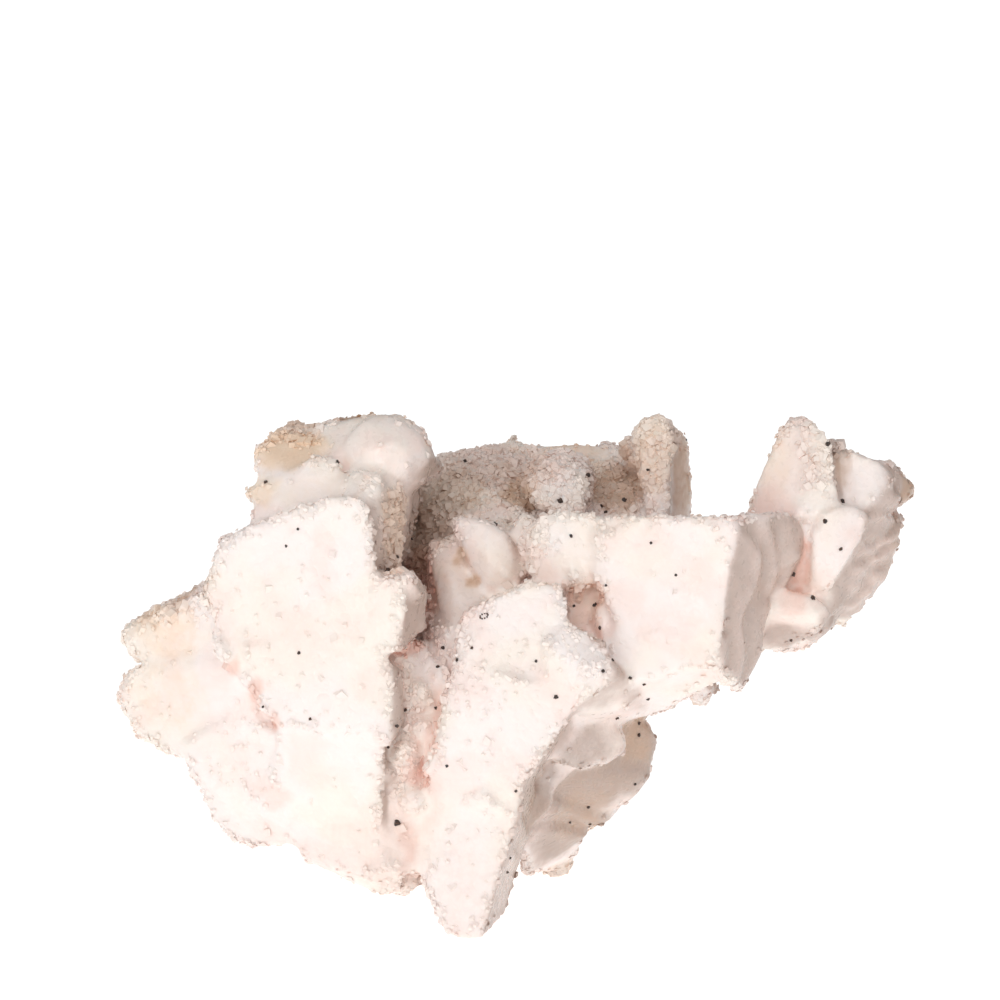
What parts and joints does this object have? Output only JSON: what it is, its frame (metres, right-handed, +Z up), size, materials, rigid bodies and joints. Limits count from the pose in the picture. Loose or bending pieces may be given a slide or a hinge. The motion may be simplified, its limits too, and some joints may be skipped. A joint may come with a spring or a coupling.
{
  "type": "mineral specimen",
  "caption": "Loose cabinet-size mineral specimen: blocky pale pink crystals grown together, coated with small crystals, standing on rough feet.",
  "frame": {"origin": "under the middle of the bounding box, on the surface that the specimen stands on", "axes": "+Z up, -Y is the front that the crystals face, +X to the right of someone who looks at the front"},
  "size_m": [0.1032, 0.0516, 0.065],
  "materials": {
    "kutnahorite": "satin"
  },
  "bodies": {
    "root": {"kutnahorite": "kutnahorite"}
  },
  "joints": []
}
